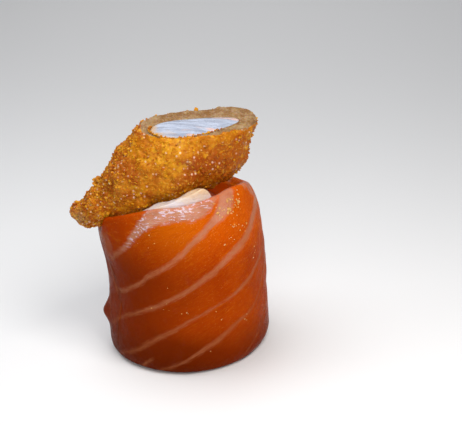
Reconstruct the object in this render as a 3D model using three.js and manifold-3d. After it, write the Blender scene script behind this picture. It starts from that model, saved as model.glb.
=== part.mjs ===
// Salmon gunkan sushi with a breaded shrimp on top, in millimetres, +Z up.
// The origin is the middle of the flat underside; the shown side faces -Y.
// Four solids: a salmon slice wound once round a cream filling, and on top a
// bias-cut breaded shrimp, whose white meat shows inside its crust.
import * as THREE from "three";
import { mergeVertices } from "three/addons/utils/BufferGeometryUtils.js";
import Module from "manifold-3d";

// Driving dimensions of the roll. Azimuths are degrees from +X over +Y.
const ROLL_RADIUS = 20;
const SLICE = 3; // thickness of the salmon slice
const SLICE_THINNING = 0.9; // towards its outer end
const SLICE_LIP = 0.55; // thickness of both its ends
const RIM_HEIGHTS = [
  // azimuth, height of the slice's wavy upper edge
  [180, 36], [208, 38.8], [217, 40], [233, 41.8], [249, 43.1], [267, 43.4], [286, 44.3],
  [303, 45.1], [318, 45.8], [340, 44.9], [360, 43], [390, 41.2], [450, 40.8], [510, 38.2],
  [540, 36],
];
const CURL_HEIGHT = 16; // the upper part of the slice that leans inwards
const CURL_LEAN = 1.6;
const CURL_LIP = 2.2;
const WAIST_DEPTH = 0.8; // the lap side is pinched at mid height
const FLARE = 1.5; // and flares out towards its top
const FOOT_HEIGHT = 4.6; // the lower edge is squashed round
const FOOT_DEPTH = 2.7;
const GAP = 0.3; // between touching pieces

// Where the slice starts, and where its outer end lies over that start.
const SLICE_START = 165;
const LAP_SIDE = 186; // middle of the overlap
const LAP_ENDS = [
  // height, azimuth of the slice's outer end
  [0, 203], [4, 205], [8, 208], [13, 212], [17, 214.5], [20.5, 214], [23.3, 208], [26, 202],
  [31, 196], [40, 192],
];
const LAP_SINK = 2.4; // how far the inner layer is pressed in under the outer
const LAP_RISE = 0.5; // the outer layer stands out this much
const KNOB_HEIGHT = 10.3; // a knob of flesh on the outer end
const KNOB_SIDE = 184;
const KNOB_DEPTH = 1.5;

// Driving dimensions of the breaded shrimp, along its own axis from the tip.
const TIP = new THREE.Vector3(-25.8, -5.8, 36.3);
const AXIS_PITCH = 38;
const AXIS_TURN = 11; // in plan, the tip lies nearer to the viewer
const SHRIMP_LENGTH = 58; // as if it were whole; the bias cut takes the end
const NOSE_LENGTH = 4;
const CRUST_SECTIONS = [
  // distance from the tip; size above, below and beside the axis; sideways shift
  [0, 1.9, 3.3, 2.6, 1.6],
  [4, 2.3, 5.1, 3.5, 1.5],
  [9, 2.6, 6.4, 5.1, 1.2],
  [15, 4.8, 9.6, 7.2, 0.6],
  [22, 6.5, 13.4, 8.7, 0],
  [30, 7.7, 16, 9.2, -0.6],
  [38, 9.4, 17.6, 7.9, 0.4],
  [46, 10.6, 14.5, 7.6, 2.7],
  [54, 9.4, 10.8, 9.6, 2.2],
];
const MEAT_SECTIONS = [
  [10, 1, 4.4, 3, 0.6],
  [20, 3.7, 7.8, 4.7, -1.6],
  [30, 5.7, 9.8, 5.5, -3],
  [38, 6.7, 10.4, 4.4, -2],
  [46, 7.4, 9.8, 3.6, 0.2],
  [54, 8, 8.8, 3.4, 1.2],
];
const MEAT_START = 10;
const MEAT_ROUND_END = 6;
const SQUARENESS = 2.2; // above 2 the crust's section is a little square
const CUT_POINT = new THREE.Vector3(0, 0, 58.65);
const CUT_NORMAL = new THREE.Vector3(0.1, -0.124, 1).normalize();
const LUMPS = 260; // crags of the fried crust
const LUMP_SEED = 7;
const LUMP_HEIGHT = 1.5;

const { exp, sin, cos, sqrt, max, min, abs, sign, PI } = Math;
const radians = THREE.MathUtils.degToRad;
const smooth = (from, to, x) => THREE.MathUtils.smoothstep(x, from, to);
const turned = (a, b) => ((((a - b) % 360) + 540) % 360) - 180;
const hump = (x, width) => exp(-((x / width) ** 2));
const humpAt = (azimuth, middle, width) => hump(turned(azimuth, middle), width);

// A smooth curve through a table's rows of [position, value, ...]; `column`
// picks the value.
function curve(table, x, column = 1) {
  const last = table.length - 1;
  let i = table.findIndex((row) => row[0] > x) - 1;
  if (i === -2) i = last - 1;
  i = max(0, i);
  const slope = (n) => {
    const [a, b] = [table[max(0, n - 1)], table[min(last, n + 1)]];
    return (b[column] - a[column]) / (b[0] - a[0]);
  };
  const [a, b] = [table[i], table[i + 1]];
  const step = b[0] - a[0];
  const t = min(1, max(0, (x - a[0]) / step));
  return (
    (1 + 2 * t) * (1 - t) ** 2 * a[column] +
    t * (1 - t) ** 2 * step * slope(i) +
    t * t * (3 - 2 * t) * b[column] +
    t * t * (t - 1) * step * slope(i + 1)
  );
}

// A seeded random number from 0 to 1.
function randomSource(seed) {
  let state = seed >>> 0;
  return () => {
    state = (state + 0x6d2b79f5) >>> 0;
    let t = Math.imul(state ^ (state >>> 15), 1 | state);
    t = (t + Math.imul(t ^ (t >>> 7), 61 | t)) ^ t;
    return ((t ^ (t >>> 14)) >>> 0) / 4294967296;
  };
}

// A closed surface through rings of points; each end is closed by one point
// or, where that is null, by a ladder across the ring's two halves.
function loft(rings, first, last) {
  const count = rings[0].length;
  const points = rings.flat();
  const faces = [];
  const quad = (a, b, c, d) => faces.push(a, b, c, a, c, d);
  for (let i = 0; i + 1 < rings.length; i++)
    for (let j = 0; j < count; j++) {
      const k = (j + 1) % count;
      quad(i * count + j, (i + 1) * count + j, (i + 1) * count + k, i * count + k);
    }
  const close = (ring, pole, flip) => {
    const start = ring * count;
    if (pole) {
      points.push(pole);
      for (let j = 0; j < count; j++) {
        const edge = [start + j, start + ((j + 1) % count)];
        faces.push(points.length - 1, ...(flip ? edge.reverse() : edge));
      }
      return;
    }
    for (let j = 0; j < count / 2 - 1; j++) {
      const corners = [j, j + 1, count - 2 - j, count - 1 - j].map((n) => start + n);
      quad(...(flip ? corners.reverse() : corners));
    }
  };
  close(0, first, false);
  close(rings.length - 1, last, true);
  const geometry = new THREE.BufferGeometry().setFromPoints(points);
  geometry.setIndex(faces);
  return geometry;
}

// The roll: a salmon slice wound round a cream filling.

const rimHeight = (azimuth) => curve(RIM_HEIGHTS, 180 + ((azimuth + 180) % 360));

// Outer radius of the roll, without the round foot.
function rollRadius(azimuth, z) {
  const left = humpAt(azimuth, LAP_SIDE, 48);
  const waist = FLARE * smooth(23, 34, z) - WAIST_DEPTH * hump(z - 19, 7);
  const waves = 0.22 * sin(radians(3 * azimuth + 5 * z)) + 0.15 * sin(radians(9 * z + 40));
  const up = max(0, 1 - (rimHeight(azimuth) - z) / CURL_HEIGHT);
  const curl = (CURL_LEAN * up + CURL_LIP * up ** 5) * (1 - 0.85 * left);
  return ROLL_RADIUS + left * waist + waves * (1 - left) - curl;
}

// The foot is rounder at the shown side than at the lap.
function footInset(azimuth, z) {
  const down = 1 - min(1, z / FOOT_HEIGHT);
  const depth = FOOT_DEPTH * (1 - 0.75 * humpAt(azimuth, 180, 38));
  return depth * (1 - sqrt(1 - down * down));
}

const lapEnd = (z) => 360 + curve(LAP_ENDS, z);
const lapSink = (azimuth) => LAP_SINK * (1 - smooth(175, 245, azimuth));

// Offset of the slice's outer face from the roll's radius, and the slice's
// thickness, at an angle counted along the slice.
function sliceLayer(along, z) {
  if (along < SLICE_START + 180) {
    const thickness = SLICE_LIP + (SLICE - SLICE_LIP) * smooth(SLICE_START, 200, along);
    return { offset: -lapSink(along), thickness };
  }
  const end = lapEnd(z);
  const inner = -lapSink(along - 360) + GAP;
  const taper = smooth(end - 20, end, along);
  const rise = LAP_RISE * smooth(500, 545, along);
  const offset = rise + (inner + SLICE_LIP - rise) * taper;
  const single = SLICE - SLICE_THINNING * smooth(485, 520, along) + offset;
  const room = along - 360 < SLICE_START ? single : offset - inner;
  return { offset, thickness: min(single, room) };
}

// A point `depth` inside the roll's face, measured square to the face.
function underFace(azimuth, z, offset, depth) {
  const step = 0.2;
  const slope = (rollRadius(azimuth, z + step) - rollRadius(azimuth, z - step)) / (2 * step);
  const level = smooth(0, 6, z); // the wall stands upright on the floor
  const across = 1 / sqrt(1 + slope * slope);
  const out = level * across + 1 - level;
  const up = -slope * across * level;
  return {
    r: rollRadius(azimuth, z) + offset - depth * out,
    z: z - depth * up,
    out,
    up,
  };
}

const knob = (along, z) =>
  KNOB_DEPTH * hump(z - KNOB_HEIGHT, 2.3) * hump(along - 360 - KNOB_SIDE, 8);

const polar = (azimuth, r, z) =>
  new THREE.Vector3(r * cos(radians(azimuth)), r * sin(radians(azimuth)), z);

// The slice is one strip, standing on its long edge and wound once round.
function salmonWrap() {
  const STEPS = 66;
  const HEIGHTS = [0, 0.6, 1.8, 4, 8.3, 10.4, 12.6, 17, 21, 25, 29, 33, 36, 38.3, 40];
  const EDGE = [0.2, 0.4, 0.6, 0.8]; // shares of the round upper edge
  const EDGE_HEIGHT = 1.2;
  const rings = [];
  for (let i = 0; i <= STEPS; i++) {
    const alongAt = (z) => SLICE_START + (i / STEPS) * (lapEnd(z) - SLICE_START);
    const top = rimHeight(alongAt(40)) - EDGE_HEIGHT;
    const outer = [];
    const inner = [];
    for (const height of HEIGHTS) {
      const z = (height / HEIGHTS.at(-1)) * top;
      const along = alongAt(z);
      const { offset, thickness } = sliceLayer(along, z);
      const face = underFace(along, z, offset, 0);
      const back = underFace(along, z, offset, thickness);
      const starting = min(1, thickness / SLICE);
      const inset = footInset(along, z) * (along < 500 ? starting : 1);
      const r = face.r + knob(along, z) - inset;
      outer.push(polar(along, r, face.z));
      const lifted = back.r - inset * smooth(525, 545, along);
      inner.push(polar(along, min(lifted, r - 0.15), back.z));
    }
    const along = alongAt(top);
    const { offset, thickness } = sliceLayer(along, top);
    const middle = underFace(along, top, offset, thickness / 2);
    const edge = EDGE.map((share) => {
      const across = (thickness / 2) * cos(share * PI);
      const rise = EDGE_HEIGHT * sin(share * PI);
      const r = middle.r + across * middle.out - rise * middle.up;
      return polar(along, r, middle.z + across * middle.up + rise * middle.out);
    });
    rings.push([...outer, ...edge, ...inner.reverse()]);
  }
  return loft(rings, null, null);
}

// How far the filling's face lies inside the roll's radius.
function fillingDepth(azimuth) {
  const NOTCH = 9; // it gives way a little before the slice's inner end
  const start = SLICE_START - NOTCH;
  if (azimuth >= start && azimuth < SLICE_START) return LAP_SINK + SLICE_LIP + GAP;
  const layer = sliceLayer(azimuth < start ? azimuth + 360 : azimuth, 0);
  return layer.thickness - layer.offset + GAP;
}

// The cream filling fills the roll; its top bulges at the shown side and is
// sunken at the right, where the far inside of the slice shows.
function creamFilling() {
  const SIDES = 60;
  const HEIGHTS = [0, 5, 12, 20, 28, 34, 38];
  const SHARES = [0.94, 0.86, 0.74, 0.6, 0.42, 0.22]; // of the radius, on the top
  const CENTRE = 38.6; // height of the top's middle
  const BELOW_RIM = 2.1;
  const SUNKEN = 4.2;
  const BULGE = 1.7;
  const azimuths = Array.from({ length: SIDES }, (_, j) => (j * 360) / SIDES);
  const level = (azimuth) => rimHeight(azimuth) - BELOW_RIM - SUNKEN * humpAt(azimuth, 5, 48);
  const side = (azimuth, share) =>
    underFace(azimuth, share * level(azimuth), 0, fillingDepth(azimuth));
  const walls = HEIGHTS.map((height) =>
    azimuths.map((azimuth) => {
      const { r, z } = side(azimuth, height / HEIGHTS.at(-1));
      return polar(azimuth, r, height === 0 ? 0 : z);
    }),
  );
  const top = SHARES.map((share) =>
    azimuths.map((azimuth) => {
      const edge = side(azimuth, 1);
      const ridge = smooth(1, 0.9, share) * smooth(0.4, 0.8, share);
      const bulge = BULGE * humpAt(azimuth, 272, 34) * ridge;
      const z = CENTRE + (edge.z - CENTRE) * share ** 1.5 + bulge;
      return polar(azimuth, edge.r * share, z);
    }),
  );
  const rings = [...walls, ...top].reverse();
  return loft(rings, new THREE.Vector3(0, 0, CENTRE), new THREE.Vector3(0, 0, 0));
}

// The breaded shrimp.

const pitch = radians(AXIS_PITCH);
const turn = radians(AXIS_TURN);
const ALONG = new THREE.Vector3(cos(pitch) * cos(turn), cos(pitch) * sin(turn), sin(pitch));
const ABOVE = new THREE.Vector3(-sin(pitch) * cos(turn), -sin(pitch) * sin(turn), cos(pitch));
const ASIDE = new THREE.Vector3(-sin(turn), cos(turn), 0); // away from the viewer

const shrimpPoint = (along, above, aside) =>
  TIP.clone()
    .addScaledVector(ALONG, along)
    .addScaledVector(ABOVE, above)
    .addScaledVector(ASIDE, aside);

// One section of the body: its middle above the axis, half sizes and shift.
function section(table, along, scale) {
  const [above, below, beside, shift] = [1, 2, 3, 4].map((n) => curve(table, along, n));
  return {
    middle: (scale * (above - below)) / 2,
    high: (scale * (above + below)) / 2,
    wide: scale * beside,
    shift,
  };
}

// A point at an angle round a section, 0 above and 90 away from the viewer.
function sectionPoint(along, { middle, high, wide, shift }, angle, grow, power) {
  const rounded = (x) => sign(x) * abs(x) ** (2 / power);
  return shrimpPoint(
    along,
    middle + (high + grow) * rounded(cos(angle)),
    shift + (wide + grow) * rounded(sin(angle)),
  );
}

// The crust's section, rounded shut at the tip and at the end.
function crustSection(along) {
  const near = max(0, 1 - along / NOSE_LENGTH);
  const far = max(0, 1 - (SHRIMP_LENGTH - along) / NOSE_LENGTH);
  const scale = sqrt(max(0, 1 - near * near)) * sqrt(max(0, 1 - far * far));
  return section(CRUST_SECTIONS, along, scale);
}

// The meat's section, rounded shut before the tip.
function meatSection(along) {
  const near = max(0, 1 - (along - MEAT_START) / MEAT_ROUND_END);
  return section(MEAT_SECTIONS, along, sqrt(max(0, 1 - near * near)));
}

// Crags: soft lumps and pits, scattered over the crust by a seeded rule.
const lumps = (() => {
  const random = randomSource(LUMP_SEED);
  return Array.from({ length: LUMPS }, () => {
    const along = random() * 54;
    const angle = random() * 2 * PI;
    const height = (random() - 0.45) * LUMP_HEIGHT;
    const width = 1.1 + 2 * random();
    const at = sectionPoint(along, crustSection(along), angle, 0, SQUARENESS);
    return { at, height, width };
  });
})();

function crag(point) {
  const sum = (total, lump) => total + lump.height * hump(point.distanceTo(lump.at), lump.width);
  return max(-0.45, min(1, lumps.reduce(sum, 0)));
}

// A body through sections from `start` to `end`; rings lie closer together
// at both ends, which are round.
function shrimpBody(count, sides, start, end, sectionAt, power, liftAt) {
  const rings = Array.from({ length: count }, (_, i) => {
    const along = start + ((end - start) * (1 - cos((PI * (i + 0.7)) / (count + 0.4)))) / 2;
    const size = sectionAt(along);
    return Array.from({ length: sides }, (_, j) => {
      const angle = (j * 2 * PI) / sides;
      const lift = liftAt(sectionPoint(along, size, angle, 0, power));
      return sectionPoint(along, size, angle, lift, power);
    });
  });
  const pole = (along, grow) => {
    const { middle, shift } = sectionAt(along);
    return shrimpPoint(along + grow, middle, shift);
  };
  return loft(rings, pole(start, -liftAt(TIP) / 2), pole(end, 0));
}

// The crust's outside; grown by the gap it is the tool that presses the seat
// into the filling and the slice.
const crustBody = (grow) =>
  shrimpBody(48, 58, 0, SHRIMP_LENGTH, crustSection, SQUARENESS, (p) => crag(p) + grow);

const meatBody = (grow) =>
  shrimpBody(18, 28, MEAT_START, 54, meatSection, 2, () => grow);

// Cutting and joining.

const wasm = await Module();
wasm.setup();

function toSolid(geometry) {
  const bare = geometry.clone();
  bare.deleteAttribute("normal");
  bare.deleteAttribute("uv");
  const merged = mergeVertices(bare, 1e-4);
  return new wasm.Manifold(
    new wasm.Mesh({
      numProp: 3,
      vertProperties: merged.attributes.position.array,
      triVerts: new Uint32Array(merged.index.array),
    }),
  );
}

function toGeometry(solid) {
  const mesh = solid.getMesh();
  const geometry = new THREE.BufferGeometry();
  geometry.setAttribute("position", new THREE.BufferAttribute(mesh.vertProperties, 3));
  geometry.setIndex(new THREE.BufferAttribute(mesh.triVerts, 1));
  return geometry;
}

// Everything above the knife's bias cut.
function aboveCut() {
  const REACH = 120;
  const box = new THREE.BoxGeometry(REACH, REACH, REACH);
  box.translate(0, 0, REACH / 2);
  const lean = new THREE.Quaternion().setFromUnitVectors(new THREE.Vector3(0, 0, 1), CUT_NORMAL);
  box.applyQuaternion(lean);
  box.translate(CUT_POINT.x, CUT_POINT.y, CUT_POINT.z);
  return toSolid(box);
}

const offcut = aboveCut();
const seat = toSolid(crustBody(GAP));
const bore = toSolid(meatBody(GAP));
const solids = {
  salmon_wrap: toSolid(salmonWrap()).subtract(seat),
  cream_filling: toSolid(creamFilling()).subtract(seat),
  shrimp_crust: toSolid(crustBody(0)).subtract(offcut).subtract(bore),
  shrimp_meat: toSolid(meatBody(0)).subtract(offcut),
};

const FINISH = {
  salmon_wrap: { color: 0xd9611e, roughness: 0.32 },
  cream_filling: { color: 0xf2ece0, roughness: 0.45 },
  shrimp_crust: { color: 0xb97518, roughness: 0.62 },
  shrimp_meat: { color: 0xe6e9f0, roughness: 0.4 },
};

const gunkan = new THREE.Group();
for (const [name, solid] of Object.entries(solids)) {
  const material = new THREE.MeshStandardMaterial({ ...FINISH[name], metalness: 0 });
  const mesh = new THREE.Mesh(toGeometry(solid), material);
  mesh.name = name;
  gunkan.add(mesh);
}

export default gunkan;
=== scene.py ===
import bpy
import numpy as np
from mathutils import Matrix


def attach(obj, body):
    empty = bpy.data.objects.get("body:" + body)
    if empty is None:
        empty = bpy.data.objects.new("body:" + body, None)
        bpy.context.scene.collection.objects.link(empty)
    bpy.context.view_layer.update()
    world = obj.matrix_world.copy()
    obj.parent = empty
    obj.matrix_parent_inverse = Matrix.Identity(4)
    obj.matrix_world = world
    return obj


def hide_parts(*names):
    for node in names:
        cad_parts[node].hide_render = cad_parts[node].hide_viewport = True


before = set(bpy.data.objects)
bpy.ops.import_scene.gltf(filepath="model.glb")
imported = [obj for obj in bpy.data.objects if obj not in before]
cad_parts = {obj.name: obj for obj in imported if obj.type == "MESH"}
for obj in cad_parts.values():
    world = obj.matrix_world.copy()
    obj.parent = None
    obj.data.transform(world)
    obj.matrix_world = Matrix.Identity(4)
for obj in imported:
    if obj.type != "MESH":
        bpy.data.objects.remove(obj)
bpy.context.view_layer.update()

# The salmon slice
# One slice of raw fillet, about 3 mm thick, stands on its long edge and is wound once round the
# filling. Its outer end laps over its start at the left, and its upper edge leans inwards.
# Fat runs through the orange flesh in pale slanting lines, and the whole slice is wet.

# Sizes are in millimetres, and angles in degrees from +X over +Y.
ROLL_RADIUS = 20.0
SLICE_THICKNESS = 3.0
SLICE_THINNING = 0.9  # towards the outer end
SLICE_LIP = 0.35  # thickness of both ends
SLICE_START = 165.0
RIM_HEIGHTS = [  # angle, height
    (180, 36), (208, 38.8), (217, 40), (233, 41.8), (249, 43.1), (267, 43.4), (286, 44.3),
    (303, 45.1), (318, 45.8), (340, 44.9), (360, 43), (390, 41.2), (450, 40.8), (510, 38.2),
    (540, 36),
]
CURL_HEIGHT = 16.0  # the upper part of the slice that leans inwards
CURL_LEAN = 1.6  # how far it leans in steadily
CURL_HOOK = 2.2  # and how much more just under the rim
LAP_SIDE = 186.0  # middle of the overlap
LAP_WIDTH = 48.0
LAP_FLARE = 1.5  # the lap side stands out above mid height
WAIST_DEPTH = 0.8  # and is pinched below it
WAIST_HEIGHT = 19.0
LAP_SINK = 2.4  # how far the inner layer is pressed in under the outer
LAP_RISE = 0.5  # the outer layer stands out this much
LAP_BITE = 0.35  # the outer end's edge lies sunk in the start's soft face
LAP_ENDS = [  # height, angle of the slice's outer end
    (0, 203), (4, 205), (8, 208), (13, 212), (17, 214.5), (20.5, 214), (23.3, 208), (26, 202),
    (31, 196), (40, 192),
]
KNOB_ALONG = 544.0  # the knob of flesh on the outer end
KNOB_HEIGHT = 10.3
KNOB_SIZE = 1.5
FOOT_HEIGHT = 4.6
FOOT_DEPTH = 2.7
EDGE_HEIGHT = 1.2  # of the round upper edge
LINE_SINK = 0.14  # the face lies this much lower at the fat lines
LINE_SPACING = 8.6
ARC = np.pi * ROLL_RADIUS / 180  # length of one degree on the roll's face

# Each fat line's rows give the angle along the slice, the height, the line's half width and how
# strongly it shows.
FAT_LINES = [
    [(165, 52, 0.8, 0.8), (186, 41, 1.2, 0.8), (198, 33.6, 1.6, 0.8), (205, 29.9, 1.3, 0.8),
     (209, 28.2, 1, 0.8), (212, 28.7, 0.8, 0.8), (216, 29.9, 0.8, 0.9), (222.5, 31.5, 0.8, 0.9),
     (227, 32.8, 0.9, 0.95), (231, 34.6, 1.3, 1), (235, 36.6, 1.8, 1), (240, 38.6, 2.1, 1),
     (245, 40.2, 2.2, 1), (250, 41, 2.1, 1),
     (260, 41.6, 1.8, 0.95), (270, 41.9, 1.9, 0.95), (280, 42, 1.9, 0.95), (290, 42.6, 1.5, 0.9),
     (300, 44.2, 0.7, 0.8), (320, 49, 0.5, 0.8), (400, 60, 0.5, 0.8), (580, 90, 0.5, 0.8)],
    [(165, 12.5, 0.4, 0.3), (186, 15.6, 0.45, 0.5), (200, 17.8, 0.5, 0.6), (210, 19.3, 0.6, 0.8),
     (220, 20.5, 0.6, 0.8), (227.5, 22, 0.6, 0.8), (234, 23.3, 0.6, 0.8), (240, 24.8, 0.65, 0.8),
     (245, 26.3, 0.7, 0.8), (250, 27.3, 0.7, 0.8), (260, 29.5, 0.7, 0.8), (265, 30.8, 0.8, 0.8),
     (270, 32, 0.9, 0.8), (275, 33.8, 0.95, 0.85), (280, 35.3, 1, 0.85), (286, 36.8, 1.05, 0.85),
     (291, 38.3, 1.1, 0.85), (295, 39.3, 1.3, 0.85), (300, 40.8, 2, 0.85), (305, 42.4, 2.7, 0.85),
     (310, 43.8, 3.1, 0.85), (318, 47.5, 2.8, 0.8), (340, 56, 2, 0.8), (580, 80, 1, 0.8)],
    [(165, 1, 0.3, 0.3), (190, 6.5, 0.3, 0.4), (200, 9.3, 0.45, 0.6), (210, 11.8, 0.5, 0.65),
     (220, 13.8, 0.5, 0.7), (230, 15.4, 0.55, 0.75), (240, 17.1, 0.6, 0.75), (250, 18.7, 0.65, 0.8),
     (260, 20.5, 0.65, 0.8), (270, 22.3, 0.75, 0.8), (280, 24.3, 0.85, 0.8), (290, 26.3, 0.95, 0.85),
     (300, 28.8, 1.05, 0.85), (311, 31, 1.15, 0.85), (317.5, 32.2, 1.2, 0.85),
     (324, 33.7, 1.3, 0.85), (330, 35.8, 1.5, 0.85), (335, 37, 1.5, 0.85), (340, 38.3, 1.4, 0.85),
     (346, 39, 1.3, 0.85), (352, 40, 1.2, 0.8), (360, 41.6, 1.2, 0.8), (370, 44, 1.2, 0.8),
     (390, 50, 1, 0.8), (580, 75, 1, 0.8)],
    [(165, -6, 0.4, 0.3), (200, 0.5, 0.4, 0.4), (215, 3, 0.5, 0.45), (230, 5.5, 0.7, 0.55),
     (240, 8, 0.75, 0.65), (250, 10.3, 0.75, 0.7), (260, 12.3, 0.65, 0.7), (270, 14.5, 0.45, 0.7),
     (280, 16, 0.35, 0.7), (292.5, 17.8, 0.35, 0.7), (300, 18.8, 0.4, 0.7), (310, 20, 0.6, 0.8),
     (320, 21.5, 0.65, 0.8), (325, 22.5, 0.65, 0.8), (330, 23.8, 0.6, 0.8), (335, 24.8, 0.6, 0.8),
     (344, 26.8, 0.6, 0.8), (360, 31, 0.7, 0.8), (380, 35.6, 0.9, 0.8), (395, 39.5, 1.2, 0.9),
     (410, 44, 1.2, 0.9), (430, 50, 1, 0.8), (580, 70, 1, 0.8)],
    [(165, -12, 0.4, 0.4), (200, -8, 0.4, 0.4), (236, -1.5, 0.4, 0.4), (250, 1.2, 0.45, 0.5),
     (260, 2.8, 0.5, 0.6), (267.5, 4.3, 0.5, 0.7), (280, 6.8, 0.7, 0.75), (290, 8.5, 0.75, 0.75),
     (300, 10.5, 0.7, 0.75), (310, 12, 0.5, 0.75), (317.5, 12.8, 0.45, 0.7), (322.5, 13.5, 0.4, 0.7),
     (327.5, 14.6, 0.35, 0.7), (332.5, 16, 0.35, 0.7), (340, 19.3, 0.4, 0.7), (350, 21.8, 0.5, 0.7),
     (360, 24, 0.6, 0.8), (390, 30, 0.8, 0.8), (420, 36, 1, 0.85), (440, 40.5, 1.4, 0.9),
     (460, 46, 1.2, 0.9), (480, 52, 1, 0.9), (580, 70, 1, 0.8)],
    [(165, -30, 0.3, 0.5), (300, -1, 0.3, 0.5), (320, 3.5, 0.3, 0.5), (330, 6, 0.35, 0.5),
     (341, 10, 0.4, 0.6), (350, 12.6, 0.45, 0.7), (380, 19, 0.6, 0.75), (420, 27, 0.8, 0.8),
     (460, 35, 1, 0.85), (480, 39.3, 1.3, 0.9), (500, 44, 1.2, 0.9), (540, 52, 1, 0.8),
     (580, 60, 1, 0.8)],
    [(165, -40, 0.4, 0.5), (320, -2, 0.4, 0.5), (341, 2, 0.4, 0.6), (380, 10, 0.5, 0.7),
     (420, 18.3, 0.65, 0.75), (460, 26.5, 0.8, 0.8), (490, 31.8, 0.9, 0.8), (505, 34.5, 0.9, 0.8),
     (515, 35.6, 1, 0.8), (525, 33, 0.8, 0.75), (535, 27, 0.7, 0.7), (545, 20.5, 0.6, 0.6),
     (552, 15.5, 0.55, 0.6), (556, 11, 0.5, 0.6), (558.5, 9.2, 0.5, 0.6), (562, 9.7, 0.5, 0.6),
     (568, 11.3, 0.5, 0.6), (580, 13.8, 0.5, 0.6)],
    [(165, -50, 0.4, 0.5), (360, -4, 0.4, 0.5), (380, 0, 0.4, 0.6), (420, 8.5, 0.5, 0.7),
     (460, 17, 0.7, 0.8), (490, 22.5, 0.8, 0.8), (505, 25, 0.8, 0.8), (515, 26, 0.8, 0.8),
     (525, 23.5, 0.7, 0.75), (535, 18, 0.6, 0.7), (545, 11.5, 0.5, 0.6), (555, 5, 0.4, 0.5),
     (565, -2, 0.4, 0.5), (580, -12, 0.4, 0.5)],
    [(165, -60, 0.4, 0.5), (400, -5, 0.4, 0.5), (420, -1, 0.4, 0.6), (460, 7.5, 0.6, 0.75),
     (490, 13, 0.7, 0.8), (505, 15.5, 0.7, 0.8), (515, 16.3, 0.7, 0.8), (525, 13.7, 0.6, 0.75),
     (535, 8, 0.5, 0.7), (545, 2, 0.4, 0.6), (560, -8, 0.4, 0.5), (580, -20, 0.4, 0.5)],
    [(165, -70, 0.4, 0.5), (455, -3, 0.4, 0.5), (470, 0.3, 0.4, 0.6), (490, 3.5, 0.5, 0.7),
     (505, 6, 0.5, 0.7), (515, 6.8, 0.5, 0.7), (525, 4.2, 0.4, 0.6), (535, -1, 0.4, 0.5),
     (580, -25, 0.4, 0.5)],
]
LAP_FAT_LINES = [  # short lines beside the lap
    [(172, 42, 0.8, 0.2), (180, 36.5, 0.9, 0.4), (186, 33, 0.9, 0.45), (192, 29.4, 0.9, 0.5),
     (198, 25.8, 0.9, 0.5), (204, 22.2, 0.9, 0.55), (209, 19.5, 0.9, 0.7), (212, 19.4, 0.4, 0)],
    [(224, -1, 0.3, 0.2), (230, 0.5, 0.4, 0.6), (236, 2, 0.5, 0.8), (241, 3.5, 0.4, 0.7),
     (246, 4.6, 0.2, 0)],
]
LAP_SKIN = (199, 31.4, 3.6)  # angle, height and radius of a ragged patch of fat on the lap
RIM_CORNER = (344, 43, 2.1)  # the same of a patch where a line meets the rim
RIM_HIGHLIGHT = (352, 20, 1.5)  # middle, half length and depth of a pale band along the rim beside it, a painted highlight


def smooth(start, end, x):
    """0 before start and 1 after end, with 3t^2 - 2t^3 between them."""
    t = np.clip((x - start) / (end - start), 0, 1)
    return t * t * (3 - 2 * t)


def hump(x, width):
    """A bell: e to the power of minus (x / width) squared."""
    return np.exp(-((x / width) ** 2))


def turned(a, b):
    """The turn from angle b to angle a, from -180 to 180 degrees."""
    return (a - b + 180) % 360 - 180


def curve(table, x, column=1):
    """A smooth curve through a table's rows: a cubic between two rows, whose slope at a row is
    that of the straight line from the row before it to the row after it."""
    rows = np.array(table, float)
    at, value = rows[:, 0], rows[:, column]
    before = np.maximum(np.arange(len(at)) - 1, 0)
    after = np.minimum(np.arange(len(at)) + 1, len(at) - 1)
    slope = (value[after] - value[before]) / (at[after] - at[before])
    i = np.clip(np.searchsorted(at, x, side="right") - 1, 0, len(at) - 2)
    step = at[i + 1] - at[i]
    t = np.clip((x - at[i]) / step, 0, 1)
    return (
        (1 + 2 * t) * (1 - t) ** 2 * value[i]
        + t * (1 - t) ** 2 * step * slope[i]
        + t * t * (3 - 2 * t) * value[i + 1]
        + t * t * (t - 1) * step * slope[i + 1]
    )


def rim_height(angle):
    """Height of the slice's wavy upper edge."""
    return curve(RIM_HEIGHTS, 180 + (angle + 180) % 360)


def roll_radius(angle, z):
    """The roll's radius: a cylinder that is pinched at the lap and flares above it, with slow
    waves on the rest, and with a lean inwards that grows towards the rim."""
    left = hump(turned(angle, LAP_SIDE), LAP_WIDTH)
    waist = LAP_FLARE * smooth(23, 34, z) - WAIST_DEPTH * hump(z - WAIST_HEIGHT, 7)
    waves = 0.22 * np.sin(np.radians(3 * angle + 5 * z)) + 0.15 * np.sin(np.radians(9 * z + 40))
    up = np.maximum(0, 1 - (rim_height(angle) - z) / CURL_HEIGHT)
    curl = (CURL_LEAN * up + CURL_HOOK * up**5) * (1 - 0.85 * left)
    return ROLL_RADIUS + left * waist + waves * (1 - left) - curl


def foot_inset(angle, z):
    """How far the squashed lower edge turns in: a quarter of an ellipse, shallower at the lap."""
    down = 1 - np.minimum(1, z / FOOT_HEIGHT)
    depth = FOOT_DEPTH * (1 - 0.75 * hump(turned(angle, 180), 38))
    return depth * (1 - np.sqrt(1 - down * down))


def lap_end(z):
    """Angle along the slice at which it ends, for a height."""
    return 360 + curve(LAP_ENDS, z)


def lap_sink(angle):
    """How far the slice's start is pressed in under the outer end, which thins out over it."""
    return LAP_SINK * (1 - smooth(150, 205, angle))


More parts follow.
